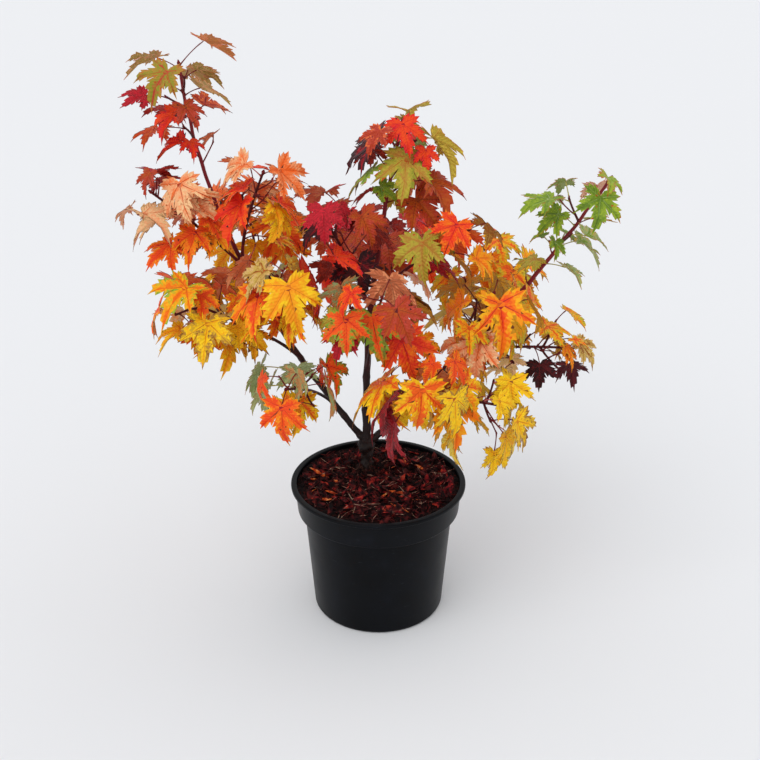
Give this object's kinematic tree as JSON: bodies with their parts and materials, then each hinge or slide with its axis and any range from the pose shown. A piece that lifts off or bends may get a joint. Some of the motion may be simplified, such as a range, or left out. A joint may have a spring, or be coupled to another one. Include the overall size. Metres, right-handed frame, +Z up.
{
  "type": "potted freeman maple",
  "caption": "Young freeman maple in autumn leaf, with spreading stems and green, yellow, orange and red foliage, growing in a black nursery pot filled with bark compost.",
  "frame": {"origin": "middle of the pot's flat underside", "axes": "+Z up the pot and the stems; +X to the viewer's right and +Y away from the viewer in the plant's front view, so the tallest stem leans to -X"},
  "size_m": [0.5762, 0.4244, 0.6793],
  "materials": {
    "pot": "satin black moulded polypropylene",
    "compost": "damp bark compost with chips and fibres",
    "bark": "smooth dark young bark with pale lenticels, redder towards the tips",
    "foliage_green": "leaves still green or lime",
    "foliage_gold": "leaves turned gold and yellow",
    "foliage_orange": "leaves turned orange and bronze",
    "foliage_red": "leaves turned scarlet, crimson and maroon"
  },
  "bodies": {
    "root": {"pot": "pot", "compost": "compost", "trunk": "bark", "bough_left": "bark", "bough_centre": "bark", "bough_right": "bark", "branch_left_outer": "bark", "branch_left_inner": "bark", "branch_left_low": "bark", "branch_left_core": "bark", "branch_left_skirt": "bark", "branch_left_back": "bark", "branch_centre_left": "bark", "branch_centre_right": "bark", "branch_centre_front": "bark", "branch_centre_skirt": "bark", "branch_centre_back": "bark", "branch_right_inner": "bark", "branch_right_skirt": "bark", "branch_right_outer": "bark", "branch_right_back": "bark", "foliage_left_top": "foliage_orange", "foliage_left_outer": "foliage_orange", "foliage_left_inner": "foliage_red", "foliage_left_low": "foliage_gold", "foliage_left_core": "foliage_orange", "foliage_left_skirt": "foliage_gold", "foliage_left_back": "foliage_orange", "foliage_centre_top": "foliage_green", "foliage_centre_left": "foliage_red", "foliage_centre_right": "foliage_orange", "foliage_centre_front": "foliage_red", "foliage_centre_skirt": "foliage_gold", "foliage_centre_back": "foliage_orange", "foliage_right_top": "foliage_green", "foliage_right_inner": "foliage_gold", "foliage_right_skirt": "foliage_gold", "foliage_right_outer": "foliage_red", "foliage_right_back": "foliage_gold"}
  },
  "joints": []
}
